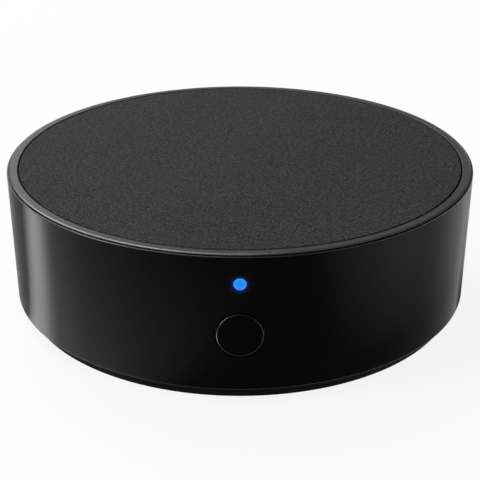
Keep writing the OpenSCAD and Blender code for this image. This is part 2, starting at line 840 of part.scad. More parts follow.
module radio_board() {
    color("#1d3f7a") on_board(radio_place_share)
        translate([-radio_size.x / 2, -radio_size.y / 2, 0])
            cube([radio_size.x, radio_size.y, radio_board_t]);
}

module radio_can() {
    color("#b4b8bc") on_board(radio_place_share)
        translate([radio_size.x * can_shift_share, 0, radio_board_t])
            rounded_bar(can_size.x, can_size.y, can_corner, can_size.z);
}

module usb_socket() {
    color("#b4b8bc") facing_back(port_z) difference() {
        translate([0, 0, socket_mouth - usb_l])
            slot_bar(usb_w, usb_h, usb_l);
        translate([0, 0, socket_mouth - usb_l + usb_sheet])
            slot_bar(usb_w - 2 * usb_sheet, usb_h - 2 * usb_sheet, usb_l);
    }
}

// Black block and tongue inside the socket
module usb_insert() {
    cavity_h = usb_h - 2 * usb_sheet;
    block_w = usb_w - usb_h;
    block_back = socket_mouth - usb_l + usb_sheet;
    color("#111113") facing_back(port_z) {
        translate([-block_w / 2, -cavity_h / 2, block_back])
            cube([block_w, cavity_h, usb_block_l]);
        translate([-tongue_w / 2, -tongue_t / 2, block_back])
            cube([tongue_w, tongue_t, usb_l - usb_sheet - tongue_back]);
    }
}

module capacitors() {
    color("#a9adb2") for (place = capacitor_places_share)
        on_board(place) {
            translate([-capacitor_d / 2, -capacitor_d / 2, 0])
                cube([capacitor_d, capacitor_d, capacitor_foot_t]);
            cylinder(d = capacitor_d, h = capacitor_h, $fn = small_fn);
        }
}

module power_coil() {
    color("#3a3c40") on_board(coil_place_share)
        rounded_bar(coil_size.x, coil_size.y, coil_corner, coil_size.z);
}

// Chip with a row of leads on its two long sides
module chip(size) {
    step = size.x * chip_spread_share / (chip_leads - 1);
    translate([-size.x / 2, -size.y / 2, chip_lead_size.z]) cube([size.x, size.y, size.z]);
    for (i = [0 : chip_leads - 1])
        translate([(i - (chip_leads - 1) / 2) * step - chip_lead_size.y / 2,
                   -size.y / 2 - chip_lead_size.x, 0])
            cube([chip_lead_size.y, size.y + 2 * chip_lead_size.x, 2 * chip_lead_size.z]);
}

module regulator_chip() {
    color("#1c1d1f") on_board(regulator_place_share) chip(regulator_size);
}

module driver_chips() {
    color("#1c1d1f") for (place = driver_places_share)
        on_board(place) chip(driver_size);
}

top_cover();
top_inset();
inset_adhesive();
side_shell();
base_cover();
base_pad();
case_screws();
button_cap();
light_pipe();
light_shield();
port_frame();
main_board();
board_screws();
ui_board();
pin_block();
link_pins();
switch_housing();
switch_plate();
switch_dome();
switch_plunger();
status_led();
ir_receiver();
ir_led_lenses();
ir_led_leads();
led_resistors();
radio_board();
radio_can();
usb_socket();
usb_insert();
capacitors();
power_coil();
regulator_chip();
driver_chips();
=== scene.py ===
import math

import bmesh
import bpy
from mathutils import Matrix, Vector


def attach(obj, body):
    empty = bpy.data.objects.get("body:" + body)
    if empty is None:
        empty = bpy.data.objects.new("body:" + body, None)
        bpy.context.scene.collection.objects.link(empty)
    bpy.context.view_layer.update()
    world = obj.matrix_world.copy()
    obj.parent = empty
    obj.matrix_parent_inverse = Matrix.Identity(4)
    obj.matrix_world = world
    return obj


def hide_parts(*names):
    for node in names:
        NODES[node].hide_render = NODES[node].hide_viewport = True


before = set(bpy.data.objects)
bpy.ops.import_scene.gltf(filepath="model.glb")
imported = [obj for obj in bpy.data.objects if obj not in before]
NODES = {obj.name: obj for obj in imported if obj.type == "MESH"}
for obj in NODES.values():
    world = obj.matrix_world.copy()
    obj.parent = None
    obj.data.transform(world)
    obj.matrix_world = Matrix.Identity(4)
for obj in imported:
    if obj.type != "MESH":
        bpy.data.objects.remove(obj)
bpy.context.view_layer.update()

MM = 0.001

# Sizes of the CAD model that the finer pieces share
BODY_R, BODY_H = 50.0, 31.6
WALL_FOOT_R, WALL_DRAFT, WALL_T = 49.55, 0.45, 1.8
SKIRT_H, WALL_TOP = 2.9, 31.25
FOOT_EDGE, TOP_EDGE = 0.4, 0.15
REBATE_R, REBATE_Z = 48.9, 28.15
LEDGE_R, LEDGE_Z, LEDGE_TOP = 46.0, 4.1, 5.1
RIM_SLOPE_H = 0.15
INSET_R, INSET_T, INSET_EDGE, INSET_GAP = 47.45, 1.2, 0.2, 0.3
PAD_R, PAD_T, PAD_EDGE = 44.0, 1.2, 0.2
GROOVES, GROOVE_W, GROOVE_DEPTH = (40.0, 36.0, 32.0), 0.8, 0.3
BUTTON_Z, BUTTON_R, BUTTON_GAP, BUTTON_EDGE, BUTTON_FLAT_R = 14.9625, 4.5, 0.2, 0.35, 3.2
BUTTON_FACE, FLANGE_R, FLANGE_FRONT, FLANGE_T = 49.9415, 5.6, 47.4238, 1.0
STEM_R, STEM_BACK = 1.7, 44.8238
LIGHT_Z, LIGHT_R, LIGHT_GAP = 25.65, 1.2, 0.05
LIGHT_FACE, LIGHT_EDGE = 49.8967, 0.2
LIGHT_BACK, COLLAR_R, COLLAR_T, COLLAR_GAP = 40.6738, 1.9, 0.8, 0.1
PORT_Z, WINDOW_W, WINDOW_H, WINDOW_CORNER = 11.23, 14.7, 8.9, 2.25
SOCKET_MOUTH, TONGUE_BACK = 44.4223, 0.9
# The socket's contacts: how many on each face, their pitch, width, thickness and softened edge, how far back they
# start, their place off the tongue's middle, and the lengths of the long and the short ones
CONTACTS, CONTACT_PITCH, CONTACT_W, CONTACT_T, CONTACT_EDGE = 12, 0.5, 0.25, 0.05, 0.012
CONTACT_BACK, CONTACT_OFF, CONTACT_LONG, CONTACT_SHORT = 0.35, 0.36, 3.1, 2.6
# Segments round the turned pieces and the floor
DISC_SEGMENTS, CAP_SEGMENTS, LENS_SEGMENTS, FLOOR_SEGMENTS = 240, 96, 72, 160


# Mesh building

def arc(x, y, r, start, end, steps):
    """Points of an arc about (x, y), from angle start to angle end in degrees."""
    turns = (math.radians(start + (end - start) * i / steps) for i in range(steps + 1))
    return [(x + r * math.cos(t), y + r * math.sin(t)) for t in turns]


def make_piece(name, bm, body="housing", sharp=32):
    """Turns a mesh in millimetres into a smooth piece with crisp edges that rides on a CAD body."""
    bmesh.ops.remove_doubles(bm, verts=bm.verts, dist=1e-4)
    bmesh.ops.recalc_face_normals(bm, faces=bm.faces)
    bmesh.ops.scale(bm, vec=(MM, MM, MM), verts=bm.verts)
    mesh = bpy.data.meshes.new(name)
    bm.to_mesh(mesh)
    bm.free()
    mesh.shade_smooth()
    mesh.set_sharp_from_angle(angle=math.radians(sharp))
    piece = bpy.data.objects.new(name, mesh)
    bpy.context.scene.collection.objects.link(piece)
    even = piece.modifiers.new("even_normals", "WEIGHTED_NORMAL")
    even.keep_sharp = True
    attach(piece, body)
    return piece


def lathe(profile, segments, closed=False):
    """Mesh turned about the Z axis from (radius, height) points. An open profile starts and ends on the axis."""
    bm = bmesh.new()
    rings = []
    for r, z in profile:
        if r < 1e-9:
            rings.append([bm.verts.new((0, 0, z))] * segments)
        else:
            turns = (2 * math.pi * i / segments for i in range(segments))
            rings.append([bm.verts.new((r * math.cos(t), r * math.sin(t), z)) for t in turns])
    pairs = list(zip(rings, rings[1:])) + ([(rings[-1], rings[0])] if closed else [])
    for low, high in pairs:
        for i in range(segments):
            k = (i + 1) % segments
            corners = []
            for v in (low[i], low[k], high[k], high[i]):
                if v not in corners:
                    corners.append(v)
            if len(corners) > 2:
                bm.faces.new(corners)
    return bm


def face_front(bm, z):
    """Turns a mesh that was made about +Z so that +Z points out of the front, at height z."""
    for v in bm.verts:
        v.co = Vector((v.co.x, -v.co.z, v.co.y + z))
    return bm


# The wall, with a fine grid that runs into round openings with softened edges

def wall_r(z):
    return WALL_FOOT_R + WALL_DRAFT * (z - SKIRT_H) / (WALL_TOP - SKIRT_H)


def inner_r(z):
    return wall_r(z) - WALL_T


def round_hole(r):
    return lambda angle, grow: ((r + grow) * math.cos(angle), (r + grow) * math.sin(angle))


def slot_hole(w, h, corner):
    """Outline of a rounded rectangle, as a function of the direction from its centre."""
    def at(angle, grow):
        c, s = math.cos(angle), math.sin(angle)
        a, b, r = w / 2 + grow, h / 2 + grow, corner + grow
        across = a / abs(c) if abs(c) > 1e-9 else math.inf
        up = b / abs(s) if abs(s) > 1e-9 else math.inf
        reach = min(across, up)
        if abs(c) * reach > a - r and abs(s) * reach > b - r:
            along = abs(c) * (a - r) + abs(s) * (b - r)
            reach = along + math.sqrt(max(0, r * r - (a - r) ** 2 - (b - r) ** 2 + along * along))
        return reach * c, reach * s
    return at


# Each opening: side (-1 front, 1 back), height, half width in degrees, lowest and highest row, outline, edge radius
OPENINGS = (
    (-1, BUTTON_Z, 8, (8.45, 21.45), round_hole(BUTTON_R + BUTTON_GAP), 0.12),
    (-1, LIGHT_Z, 4, (23.45, 27.85), round_hole(LIGHT_R + LIGHT_GAP), 0.06),
    (1, PORT_Z, 12, (6.2, 16.9), slot_hole(WINDOW_W, WINDOW_H, WINDOW_CORNER), 0.15),
)
COLUMNS = 360
# Light that bleeds from the status light into the wall: its colour at the hole, and its reach in millimetres
GLOW, GLOW_REACH = (0.002, 0.028, 0.12), 0.25


def wall_rows():
    """Heights of the wall's rows. The openings' lowest and highest rows are among them."""
    marks = sorted({SKIRT_H + FOOT_EDGE, WALL_TOP - TOP_EDGE, *(z for o in OPENINGS for z in o[3])})
    rows = []
    for low, high in zip(marks, marks[1:]):
        steps = math.ceil((high - low) / 0.9)
        rows += [low + (high - low) * i / steps for i in range(steps)]
    return rows + [marks[-1]]


def column_point(r, i, z):
    turn = math.radians(i * 360 / COLUMNS)
    return r * math.sin(turn), -r * math.cos(turn), z


def add_rings(bm, rings, closed=True):
    """Faces between rings of as many corners each."""
    for low, high in zip(rings, rings[1:]):
        count = len(low)
        for i in range(count if closed else count - 1):
            k = (i + 1) % count
            bm.faces.new((low[i], low[k], high[k], high[i]))


def opening_rings(bm, grid, rows, opening, radius, soften):
    """Rings from a gap in the grid of one of the wall's faces to the opening's outline there."""
    side, height, half, (low, high), outline, edge = opening
    middle = 0 if side < 0 else COLUMNS // 2
    cols = [(middle + i) % COLUMNS for i in range(-half, half + 1)]
    k0, k1 = rows.index(low), rows.index(high)
    border = ([grid[k0][c] for c in cols] + [grid[k][cols[-1]] for k in range(k0 + 1, k1)]
              + [grid[k1][c] for c in reversed(cols)] + [grid[k][cols[0]] for k in range(k1 - 1, k0, -1)])
    angles = [math.atan2(v.co.z - height, v.co.x) for v in border]

    def point(x, z, depth=0.0):
        z += height
        return bm.verts.new((x, side * (math.sqrt(radius(z) ** 2 - x * x) - depth), z))

    grow = edge if soften else 0.0
    rings = [border]
    for share in (0.62, 0.34, 0.14, 0.05, 0):
        ring = []
        for v, angle in zip(border, angles):
            x, z = outline(angle, grow)
            ring.append(point(x + (v.co.x - x) * share, z + (v.co.z - height - z) * share))
        rings.append(ring)
    if soften:
        for t in (22.5, 45, 67.5, 90):
            out, depth = edge * (1 - math.sin(math.radians(t))), edge * (1 - math.cos(math.radians(t)))
            rings.append([point(*outline(angle, out), depth) for angle in angles])
    add_rings(bm, rings)
    return rings[-1]


def make_wall():
    """Glossy wall with its openings for the button, the light and the plug."""
    bm = bmesh.new()
    rows = wall_rows()
    inner_rows = [z for z in rows if LEDGE_TOP < z < REBATE_Z]

    def ring(r, z):
        return [bm.verts.new(column_point(r, i, z)) for i in range(COLUMNS)]

    outer = [ring(wall_r(z), z) for z in rows]
    inner = [ring(inner_r(z), z) for z in inner_rows]
    foot = [ring(*p) for p in arc(WALL_FOOT_R - FOOT_EDGE, SKIRT_H + FOOT_EDGE, FOOT_EDGE, -90, 0, 6)[:-1]]
    crown = [ring(*p) for p in arc(BODY_R - TOP_EDGE, WALL_TOP - TOP_EDGE, TOP_EDGE, 0, 90, 4)[1:]]
    rebate = [ring(REBATE_R, WALL_TOP), ring(REBATE_R, REBATE_Z), ring(inner_r(REBATE_Z), REBATE_Z)]
    ledge = [ring(inner_r(LEDGE_TOP), LEDGE_TOP), ring(LEDGE_R, LEDGE_TOP), ring(LEDGE_R, LEDGE_Z),
             ring(inner_r(LEDGE_Z), LEDGE_Z), ring(inner_r(SKIRT_H), SKIRT_H)]
    add_rings(bm, foot + [outer[0]])
    add_rings(bm, [outer[-1]] + crown + rebate + [inner[-1]])
    add_rings(bm, [inner[0]] + ledge + [foot[0]])
    for grid, heights in ((outer, rows), (inner, inner_rows)):
        for k in range(len(heights) - 1):
            for i in range(COLUMNS):
                if any(low <= heights[k] < high and in_opening(i, side, half)
                       for side, _, half, (low, high), _, _ in OPENINGS):
                    continue
                j = (i + 1) % COLUMNS
                bm.faces.new((grid[k][i], grid[k][j], grid[k + 1][j], grid[k + 1][i]))
    for opening in OPENINGS:
        front = opening_rings(bm, outer, rows, opening, wall_r, True)
        back = opening_rings(bm, inner, inner_rows, opening, inner_r, False)
        add_rings(bm, [front, back])
    wall = make_piece("wall_shell", bm)
    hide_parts("side_shell")
    return wall


def in_opening(i, side, half):
    """Whether grid column i starts inside an opening that is centred on the front or the back."""
    middle = 0 if side < 0 else COLUMNS // 2
    return (i - middle + half) % COLUMNS < 2 * half


# Small outer pieces

def make_inset():
    """Textured disc, with a soft edge and rings of faces that keep its top smooth."""
    top = [(r, BODY_H) for r in (40, 30, 20, 10)]
    edge = arc(INSET_R - INSET_EDGE, BODY_H - INSET_EDGE, INSET_EDGE, 0, 90, 6)
    inset = make_piece("textured_disc", lathe(
        [(0, BODY_H - INSET_T), (INSET_R, BODY_H - INSET_T)] + edge + top + [(0, BODY_H)], DISC_SEGMENTS))
    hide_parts("top_inset")
    return inset


def make_pad():
    """Anti-slip pad with rounded grooves in its underside."""
    under = [(0, 0)]
    for r in sorted(GROOVES):
        middle = r - GROOVE_W / 2
        under += [(middle + GROOVE_W / 2 * math.cos(t), GROOVE_DEPTH * math.sin(t))
                  for t in (math.pi * (1 - i / 8) for i in range(9))]
    rim = arc(PAD_R - PAD_EDGE, PAD_EDGE, PAD_EDGE, -90, 0, 5)
    pad = make_piece("grip_pad", lathe(under + rim + [(PAD_R, PAD_T), (0, PAD_T)], DISC_SEGMENTS))
    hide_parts("base_pad")
    return pad


def make_cap():
    """Button cap with a flange behind the wall. Its face is matt and its rounded edge polished."""
    edge = arc(BUTTON_R - BUTTON_EDGE, BUTTON_FACE - BUTTON_EDGE, BUTTON_EDGE, 0, 90, 8)
    back = FLANGE_FRONT - FLANGE_T
    profile = ([(0, STEM_BACK), (STEM_R, STEM_BACK), (STEM_R, back), (FLANGE_R, back), (FLANGE_R, FLANGE_FRONT),
                (BUTTON_R, FLANGE_FRONT)] + edge + [(BUTTON_FLAT_R, BUTTON_FACE), (0, BUTTON_FACE)])
    cap = make_piece("press_cap", face_front(lathe(profile, CAP_SEGMENTS), BUTTON_Z), "button")
    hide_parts("button_cap")
    return cap


def make_lens():
    """Light pipe from the status light's chip to the wall, with a collar and a softly rounded front."""
    collar_front = math.sqrt(inner_r(LIGHT_Z - COLLAR_R) ** 2 - COLLAR_R ** 2) - COLLAR_GAP
    collar_back = collar_front - COLLAR_T
    profile = ([(0, LIGHT_BACK), (LIGHT_R, LIGHT_BACK), (LIGHT_R, collar_back), (COLLAR_R, collar_back),
                (COLLAR_R, collar_front), (LIGHT_R, collar_front)]
               + arc(LIGHT_R - LIGHT_EDGE, LIGHT_FACE - LIGHT_EDGE, LIGHT_EDGE, 0, 90, 5) + [(0, LIGHT_FACE)])
    lens = make_piece("light_lens", face_front(lathe(profile, LENS_SEGMENTS), LIGHT_Z))
    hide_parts("light_pipe")
    return lens


def add_block(bm, centre, size, soften):
    """Block with softened edges."""
    made = bmesh.ops.create_cube(bm, size=1)["verts"]
    for v in made:
        v.co = Vector(c + x * s for c, x, s in zip(centre, v.co, size))
    edges = {e for v in made for e in v.link_edges}
    bmesh.ops.bevel(bm, geom=list(edges), offset=soften, segments=2, affect="EDGES", profile=0.7)


def make_contacts():
    """Gold contacts on both faces of the power socket's tongue."""
    bm = bmesh.new()
    front = SOCKET_MOUTH - TONGUE_BACK - CONTACT_BACK
    for face in (-1, 1):
        for i in range(CONTACTS):
            length = CONTACT_SHORT if i % 3 == 1 else CONTACT_LONG
            across = (i - (CONTACTS - 1) / 2) * CONTACT_PITCH
            add_block(bm, (across, front - length / 2, PORT_Z + face * CONTACT_OFF),
                      (CONTACT_W, length, CONTACT_T), CONTACT_EDGE)
    contacts = make_piece("socket_contacts", bm)
    return contacts


# Materials

def new_material(name):
    """Empty procedural material: its node tree, its main shader and its object coordinates."""
    mat = bpy.data.materials.new(name)
    mat.use_nodes = True
    tree = mat.node_tree
    shader = next(n for n in tree.nodes if n.type == "BSDF_PRINCIPLED")
    coords = tree.nodes.new("ShaderNodeTexCoord")
    return mat, tree, shader, coords.outputs["Object"]


def noise(tree, coords, grain, detail=3.0, rough=0.55):
    """Value of a noise whose features are about grain millimetres wide."""
    node = tree.nodes.new("ShaderNodeTexNoise")
    node.inputs["Scale"].default_value = 1 / (grain * MM)
    node.inputs["Detail"].default_value = detail
    node.inputs["Roughness"].default_value = rough
    tree.links.new(coords, node.inputs["Vector"])
    return node.outputs["Fac"]


def spread(tree, value, low, high, start=0.3, end=0.7):
    """Maps start to end of a value onto low to high."""
    node = tree.nodes.new("ShaderNodeMapRange")
    for socket, number in zip(("From Min", "From Max", "To Min", "To Max"), (start, end, low, high)):
        node.inputs[socket].default_value = number
    tree.links.new(value, node.inputs["Value"])
    return node.outputs["Result"]


def blend_colours(tree, value, dark, light, start=0.3, end=0.7):
    node = tree.nodes.new("ShaderNodeValToRGB")
    for stop, place, colour in zip(node.color_ramp.elements, (start, end), (dark, light)):
        stop.position = place
        stop.color = (*colour, 1)
    tree.links.new(value, node.inputs["Fac"])
    return node.outputs["Color"]


def calculate(tree, operation, *numbers):
    """Result of a math node. Each number is another node's output or a plain number."""
    node = tree.nodes.new("ShaderNodeMath")
    node.operation = operation
    for socket, number in zip(node.inputs, numbers):
        if isinstance(number, (int, float)):
            socket.default_value = number
        else:
            tree.links.new(number, socket)
    return node.outputs["Value"]


def length_of(tree, vector):
    node = tree.nodes.new("ShaderNodeVectorMath")
    node.operation = "LENGTH"
    tree.links.new(vector, node.inputs[0])
    return node.outputs["Value"]


def move_and_scale(tree, vector, scale, move):
    """Vector times scale, plus move."""
    node = tree.nodes.new("ShaderNodeVectorMath")
    node.operation = "MULTIPLY_ADD"
    tree.links.new(vector, node.inputs[0])
    node.inputs[1].default_value = scale
    node.inputs[2].default_value = move
    return node.outputs["Vector"]


def parts_of(tree, vector):
    """The X, Y and Z of a vector."""
    node = tree.nodes.new("ShaderNodeSeparateXYZ")
    tree.links.new(vector, node.inputs["Vector"])
    return node.outputs["X"], node.outputs["Y"], node.outputs["Z"]


def mix_colours(tree, factor, first, second):
    """Blend of two colours. The second is another node's output."""
    node = tree.nodes.new("ShaderNodeMix")
    node.data_type = "RGBA"
    tree.links.new(factor, node.inputs["Factor"])
    node.inputs["A"].default_value = (*first, 1)
    tree.links.new(second, node.inputs["B"])
    return node.outputs["Result"]


def multiply_colours(tree, first, second):
    node = tree.nodes.new("ShaderNodeMix")
    node.data_type = "RGBA"
    node.blend_type = "MULTIPLY"
    node.inputs["Factor"].default_value = 1
    tree.links.new(first, node.inputs["A"])
    tree.links.new(second, node.inputs["B"])
    return node.outputs["Result"]


def add_bump(tree, shader, value, depth, strength=1.0):
    node = tree.nodes.new("ShaderNodeBump")
    node.inputs["Strength"].default_value = strength
    node.inputs["Distance"].default_value = depth * MM
    tree.links.new(value, node.inputs["Height"])
    tree.links.new(node.outputs["Normal"], shader.inputs["Normal"])


def shade(colour, factor):
    return tuple(c * factor for c in colour)


def plastic(name, colour, rough, level=0.5, grain=0.35, depth=0.006, vary=0.12, rough_vary=0.04):
    """Moulded plastic: fine spark-eroded grain, slight cloudiness and uneven gloss."""
    mat, tree, shader, coords = new_material(name)
    fine, broad = noise(tree, coords, grain), noise(tree, coords, 9, 2)
    tree.links.new(blend_colours(tree, broad, shade(colour, 1 - vary), shade(colour, 1 + vary)),
                   shader.inputs["Base Color"])
    tree.links.new(spread(tree, broad, rough - rough_vary, rough + rough_vary), shader.inputs["Roughness"])
    shader.inputs["Specular IOR Level"].default_value = level
    if depth:
        add_bump(tree, shader, fine, depth)
    return mat


def metal(name, colour, rough, grain=0.5, vary=0.1):
    """Plain metal with fine drawn streaks and uneven gloss."""
    mat, tree, shader, coords = new_material(name)
    stretch = tree.nodes.new("ShaderNodeMapping")
    stretch.inputs["Scale"].default_value = (1, 1, 0.15)
    tree.links.new(coords, stretch.inputs["Vector"])
    streaks = noise(tree, stretch.outputs["Vector"], grain, 4)
    tree.links.new(blend_colours(tree, streaks, shade(colour, 1 - vary), shade(colour, 1 + vary)),
                   shader.inputs["Base Color"])
    tree.links.new(spread(tree, streaks, rough * 0.8, rough * 1.2), shader.inputs["Roughness"])
    shader.inputs["Metallic"].default_value = 1
    return mat


def board(name, mask, trace):
    """Circuit board: solder mask with fine tracks under it."""
    mat, tree, shader, coords = new_material(name)
    wave = tree.nodes.new("ShaderNodeTexWave")
    wave.bands_direction = "DIAGONAL"
    wave.inputs["Scale"].default_value = 160
    wave.inputs["Distortion"].default_value = 6
    wave.inputs["Detail"].default_value = 1
    tree.links.new(coords, wave.inputs["Vector"])
    tree.links.new(blend_colours(tree, wave.outputs["Fac"], mask, trace, 0.72, 0.8), shader.inputs["Base Color"])
    tree.links.new(spread(tree, noise(tree, coords, 4), 0.3, 0.45), shader.inputs["Roughness"])
    add_bump(tree, shader, wave.outputs["Fac"], 0.01, 0.5)
    return mat


# The satin colour covers this share of the rim's slope, from its top; below it the colour is painted near black as
# shade
# in the seam. Roughness: of the bare plastic below it, of the slope, and what the flat face adds to the slope's
SATIN_OVER_SHADE_SHARE = 0.62
BARE_ROUGH, SLOPE_ROUGH, FLAT_ADDS = 0.8, 0.24, (0.09, 0.14)


def rim_skin_with_painted_shade():
    """Satin face of the rim over the dull black plastic of the rest of the cover, whose colour is painted shade: near
    black in the seam, the pocket round the disc and a thin line along the face's inner edge.
    """
    mat, tree, shader, coords = new_material("rim_plastic")
    fine, broad = noise(tree, coords, 0.25), noise(tree, coords, 9, 2)
    _, _, height = parts_of(tree, coords)
    reach = length_of(tree, move_and_scale(tree, coords, (1, 1, 0), (0, 0, 0)))
    low, inner = (BODY_H - RIM_SLOPE_H * SATIN_OVER_SHADE_SHARE) * MM, (INSET_R + INSET_GAP) * MM
    # Mask of the satin face. Where it is 0, below the slope's satin share and within 0.03 mm of the inner edge, shade
    # is painted
    face = calculate(tree, "MULTIPLY", spread(tree, height, 0, 1, low - 0.01 * MM, low + 0.01 * MM),
                     spread(tree, reach, 0, 1, inner + 0.01 * MM, inner + 0.03 * MM))
    satin = blend_colours(tree, broad, (0.025, 0.025, 0.026), (0.031, 0.031, 0.032))
    # Painted shade: near black wherever the mask is 0, in the seam, the pocket and the thin line at the inner edge
    tree.links.new(mix_colours(tree, face, (0.004, 0.004, 0.004), satin), shader.inputs["Base Color"])
    flat = spread(tree, height, 0, 1, (BODY_H - 0.02) * MM, (BODY_H - 0.01) * MM)
    gloss = calculate(tree, "MULTIPLY", face, BARE_ROUGH - SLOPE_ROUGH)
    duller = calculate(tree, "MULTIPLY", flat, spread(tree, broad, *FLAT_ADDS))
    tree.links.new(calculate(tree, "ADD", calculate(tree, "SUBTRACT", BARE_ROUGH, gloss), duller),
                   shader.inputs["Roughness"])
    shader.inputs["Specular IOR Level"].default_value = 0.5
    add_bump(tree, shader, fine, 0.003)
    return mat


# Roughness of the wall, and how far it goes up and down
WALL_ROUGH, WALL_ROUGH_VARY = 0.16, 0.01


def gloss_wall(name, level):
    """Dark glossy wall that lets infrared through. The status light bleeds into it round its hole."""
    mat, tree, shader, coords = new_material(name)
    cloud, fine = noise(tree, coords, 14, 2), noise(tree, coords, 1.2, 2)
    tree.links.new(blend_colours(tree, cloud, (0.0005, 0.0005, 0.0006), (0.0008, 0.0008, 0.0009)),
                   shader.inputs["Base Color"])
    tree.links.new(spread(tree, fine, WALL_ROUGH - WALL_ROUGH_VARY, WALL_ROUGH + WALL_ROUGH_VARY),
                   shader.inputs["Roughness"])
    shader.inputs["IOR"].default_value = 1.45
    shader.inputs["Specular IOR Level"].default_value = level
    reach, depth = round_light(tree, coords)
    # Light left at a distance from the hole's edge: it falls by e over GLOW_REACH millimetres
    distance = calculate(tree, "SUBTRACT", calculate(tree, "MULTIPLY", reach, 1 / MM), LIGHT_R + LIGHT_GAP)
    fall = calculate(tree, "POWER", math.exp(-1 / GLOW_REACH), distance)
    front = calculate(tree, "LESS_THAN", depth, -WALL_FOOT_R * 0.95 * MM)
    tree.links.new(calculate(tree, "MULTIPLY", fall, front), shader.inputs["Emission Strength"])
    shader.inputs["Emission Color"].default_value = (*GLOW, 1)
    return mat


def round_light(tree, coords):
    """Distance from the status light's axis, and place along it."""
    reach = length_of(tree, move_and_scale(tree, coords, (1, 0, 1), (0, 0, -LIGHT_Z * MM)))
    return reach, parts_of(tree, coords)[1]


# Range of the disc's grain that runs from its pits to its bumps
GRAIN_LOW, GRAIN_HIGH = 0.5, 0.86


def disc_skin_with_painted_pit_shade():
    """Fine-grained soft-touch skin of the top disc: pebbled bumps with a random grain tone, and painted shade that
    darkens the pits.
    """
    mat, tree, shader, coords = new_material("inset_skin")
    grain, pebble = noise(tree, coords, 0.36, 2.5, 0.6), noise(tree, coords, 0.75, 2)
    broad = noise(tree, coords, 16, 2)
    bumps = calculate(tree, "MULTIPLY_ADD", pebble, 0.35, grain)
    # Painted shade: the colour darkens with the depth of each pit, over the grain's random tone
    fine = blend_colours(tree, bumps, (0.0078, 0.0078, 0.008), (0.0545, 0.0545, 0.0554), GRAIN_LOW, GRAIN_HIGH)
    cloud = blend_colours(tree, broad, (0.95, 0.95, 0.95), (1.05, 1.05, 1.05))
    tree.links.new(multiply_colours(tree, fine, cloud), shader.inputs["Base Color"])
    tree.links.new(spread(tree, bumps, 0.78, 0.66, GRAIN_LOW, GRAIN_HIGH), shader.inputs["Roughness"])
    shader.inputs["Specular IOR Level"].default_value = 0.1
    add_bump(tree, shader, bumps, 0.05)
    return mat


def glowing(name, base, core, edge, radius, strength=1.0):
    """Lit face round the status light's axis: core colour inside, edge colour at radius."""
    mat, tree, shader, coords = new_material(name)
    reach, _ = round_light(tree, coords)
    tree.links.new(blend_colours(tree, spread(tree, reach, 0, 1, 0, radius * MM), core, edge, 0.4, 0.95),
                   shader.inputs["Emission Color"])
    shader.inputs["Emission Strength"].default_value = strength
    tree.links.new(spread(tree, noise(tree, coords, 0.5), 0.12, 0.2), shader.inputs["Roughness"])
    shader.inputs["Base Color"].default_value = (*base, 1)
    shader.inputs["Specular IOR Level"].default_value = 0.05
    return mat


def dress(obj, *mats):
    obj.data.materials.clear()
    for mat in mats:
        obj.data.materials.append(mat)


def paint_cap(cap, face, edge):
    """Gives the cap's flat face the matt finish, and the rest of it the polished one."""
    dress(cap, edge, face)
    for poly in cap.data.polygons:
        poly.material_index = int(poly.center.y < -(BUTTON_FACE - 0.02) * MM)


def paint_wall(wall, face, crown, foot):
    """Gives the wall's face one finish, and its rounded top and bottom edges more gloss."""
    dress(wall, face, crown, foot)
    for poly in wall.data.polygons:
        reach = math.hypot(poly.center.x, poly.center.y)
        if reach > REBATE_R * MM and poly.center.z > (WALL_TOP - TOP_EDGE) * MM:
            poly.material_index = 1
        elif reach > (WALL_FOOT_R - FOOT_EDGE) * MM and poly.center.z < (SKIRT_H + FOOT_EDGE) * MM:
            poly.material_index = 2


# Specular level of the wall's face, of its rounded top edge and of its rounded bottom edge
FACE_LEVEL, CROWN_LEVEL, FOOT_LEVEL = 0.028, 0.7, 0.034


